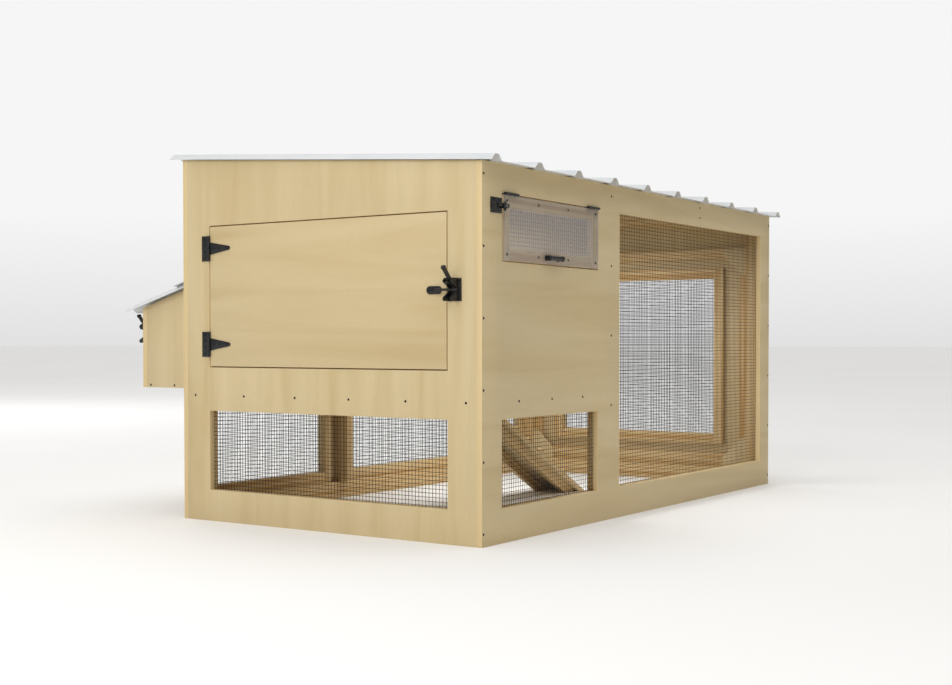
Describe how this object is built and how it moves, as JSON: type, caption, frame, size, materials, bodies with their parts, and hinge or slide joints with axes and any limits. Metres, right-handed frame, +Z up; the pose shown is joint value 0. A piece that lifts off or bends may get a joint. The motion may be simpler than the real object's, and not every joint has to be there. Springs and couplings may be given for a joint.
{
  "type": "chicken coop",
  "caption": "Plywood chicken coop: raised house with nest box and clean-out door, ramp to a wire-mesh run, hinged vent and run door, ribbed metal shed roof.",
  "frame": {"origin": "bottom centre of the bounding box, on the ground", "axes": "+X along the long side towards the run's end, +Y from the low front to the tall back with the nest box, +Z up"},
  "size_m": [2.3154, 1.6498, 1.2419],
  "materials": {
    "plywood": "sanded, clear sealed plywood",
    "pine": "planed pine",
    "roof_steel": "light grey coated ribbed steel",
    "wire_mesh": "black vinyl-coated half-inch hardware cloth",
    "black_hardware": "black powder coat",
    "clear_sheet": "smoky translucent polycarbonate"
  },
  "bodies": {
    "coop": {"front_panel": "plywood", "back_panel": "plywood", "end_panel": "plywood", "run_end_panel": "plywood", "base_rails": "pine", "posts": "pine", "floor_frame": "pine", "house_floor": "plywood", "partition_panel": "plywood", "rafters": "pine", "eave_blocks": "pine", "opening_strips": "pine", "corner_gussets": "plywood", "roof_sheet_1": "roof_steel", "roof_sheet_2": "roof_steel", "roof_sheet_3": "roof_steel", "roof_screws": "roof_steel", "wall_screws": "black_hardware", "window_meshes": "wire_mesh", "run_meshes": "wire_mesh", "vent_mesh": "wire_mesh", "hinge_plates": "black_hardware", "hinge_pins": "black_hardware", "butt_leaves": "black_hardware", "latch_bodies": "black_hardware", "nest_floor": "plywood", "nest_sides": "plywood", "nest_front": "plywood", "nest_divider": "plywood", "nest_lip": "pine", "nest_roof": "roof_steel", "nest_flashing": "roof_steel", "vent_bolt_body": "black_hardware", "roost_rails": "pine", "roost_bars": "pine"},
    "clean_out_door": {"clean_out_door": "plywood", "clean_out_straps": "black_hardware", "clean_out_striker": "black_hardware"},
    "clean_out_latch": {"clean_out_arm": "black_hardware"},
    "nest_door": {"nest_door": "plywood", "nest_straps": "black_hardware", "nest_striker": "black_hardware"},
    "nest_latch": {"nest_arm": "black_hardware"},
    "vent_flap": {"vent_frame": "pine", "vent_pane": "clear_sheet", "vent_leaves": "black_hardware", "vent_screws": "black_hardware", "vent_handle": "black_hardware", "vent_keeper": "black_hardware"},
    "vent_bolt": {"vent_bolt": "black_hardware"},
    "run_door": {"run_door_ring": "plywood", "run_door_frame": "pine", "run_door_mesh": "wire_mesh", "run_door_straps": "black_hardware", "run_door_striker": "black_hardware"},
    "run_latch": {"run_door_arm": "black_hardware"},
    "ramp": {"ramp_board": "plywood", "ramp_battens": "pine", "ramp_cleats": "pine", "ramp_leaf": "black_hardware"}
  },
  "joints": [
    {"name": "clean_out_door_hinge", "type": "hinge", "parent": "coop", "child": "clean_out_door", "pos_m": [-1.098, 0.3095, 0.7515], "axis": [0, 0, -1], "range_deg": [0, 170]},
    {"name": "clean_out_latch_pivot", "type": "hinge", "parent": "coop", "child": "clean_out_latch", "pos_m": [-1.113, -0.69, 0.776], "axis": [0, -1, 0], "range_deg": [0, 65]},
    {"name": "nest_door_hinge", "type": "hinge", "parent": "coop", "child": "nest_door", "pos_m": [-0.459, 0.755, 0.588], "axis": [0, 0, -1], "range_deg": [0, 170]},
    {"name": "nest_latch_pivot", "type": "hinge", "parent": "coop", "child": "nest_latch", "pos_m": [-0.9495, 0.7715, 0.653], "axis": [-1, 0, 0], "range_deg": [0, 65]},
    {"name": "vent_flap_hinge", "type": "hinge", "parent": "coop", "child": "vent_flap", "pos_m": [-0.691, -0.7928, 1.041], "axis": [-1, 0, 0], "range_deg": [0, 90]},
    {"name": "vent_bolt_slide", "type": "slide", "parent": "coop", "child": "vent_bolt", "axis": [1, 0, 0], "range_m": [0, 0.018]},
    {"name": "run_door_hinge", "type": "hinge", "parent": "coop", "child": "run_door", "pos_m": [1.098, 0.3275, 0.5385], "axis": [0, 0, 1], "range_deg": [0, 170]},
    {"name": "run_latch_pivot", "type": "hinge", "parent": "coop", "child": "run_latch", "pos_m": [1.113, -0.708, 0.776], "axis": [0, 1, 0], "range_deg": [0, 65]},
    {"name": "ramp_hinge", "type": "hinge", "parent": "coop", "child": "ramp", "pos_m": [-0.319, -0.176, 0.405], "axis": [0, -1, 0], "range_deg": [0, 80]}
  ]
}
